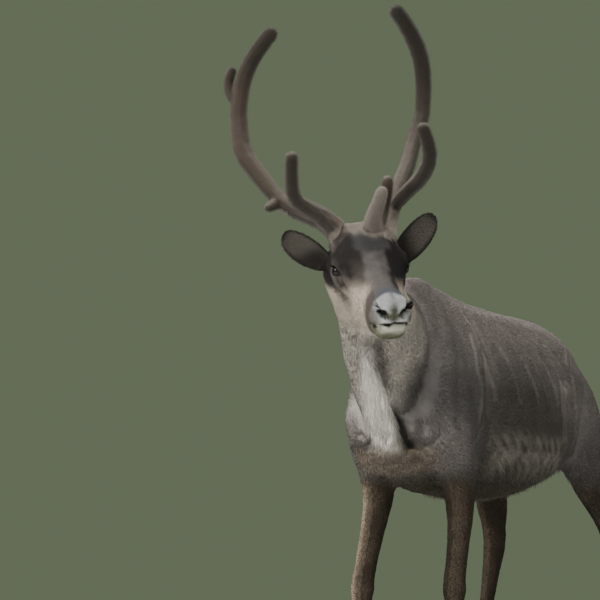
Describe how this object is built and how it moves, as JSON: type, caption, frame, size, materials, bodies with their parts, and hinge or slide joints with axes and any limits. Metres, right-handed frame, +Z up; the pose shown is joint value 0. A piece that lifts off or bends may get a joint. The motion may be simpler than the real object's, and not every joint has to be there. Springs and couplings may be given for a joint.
{
  "type": "reindeer",
  "caption": "Still, life-size model of a standing reindeer bull with velvet antlers and a short summer coat, its head turned to its left.",
  "frame": {"origin": "on the floor under the middle of the whole outline, antlers included", "axes": "+Z up; the animal faces -Y and its left side is +X; the head is turned to its left"},
  "size_m": [0.5826, 1.8672, 1.8298],
  "materials": {
    "coat": "short matte summer hair",
    "mane": "longer pale matte hair",
    "face": "very short dark hair, pale at the muzzle",
    "velvet": "fine velvet hair",
    "eye": "wet gloss",
    "hoof": "worn horn"
  },
  "bodies": {
    "root": {"trunk": "coat", "neck": "mane", "head": "face", "eye_left": "eye", "eye_right": "eye", "tail": "coat", "ear_left": "coat", "antler_left_beam_lower": "velvet", "antler_left_beam_middle": "velvet", "antler_left_beam_upper": "velvet", "antler_left_bez": "velvet", "antler_left_brow": "velvet", "antler_left_brow_prong": "velvet", "ear_right": "coat", "antler_right_beam_lower": "velvet", "antler_right_beam_middle": "velvet", "antler_right_beam_upper": "velvet", "antler_right_bez": "velvet", "antler_right_stub": "velvet", "antler_right_back_tine": "velvet", "leg_fore_left_upper": "coat", "leg_fore_left_lower": "coat", "hoof_fore_left_left": "hoof", "dewclaw_fore_left_left": "hoof", "hoof_fore_left_right": "hoof", "dewclaw_fore_left_right": "hoof", "leg_fore_right_upper": "coat", "leg_fore_right_lower": "coat", "hoof_fore_right_left": "hoof", "dewclaw_fore_right_left": "hoof", "hoof_fore_right_right": "hoof", "dewclaw_fore_right_right": "hoof", "leg_hind_left_upper": "coat", "leg_hind_left_lower": "coat", "hoof_hind_left_left": "hoof", "dewclaw_hind_left_left": "hoof", "hoof_hind_left_right": "hoof", "dewclaw_hind_left_right": "hoof", "leg_hind_right_upper": "coat", "leg_hind_right_lower": "coat", "hoof_hind_right_left": "hoof", "dewclaw_hind_right_left": "hoof", "hoof_hind_right_right": "hoof", "dewclaw_hind_right_right": "hoof"}
  },
  "joints": []
}
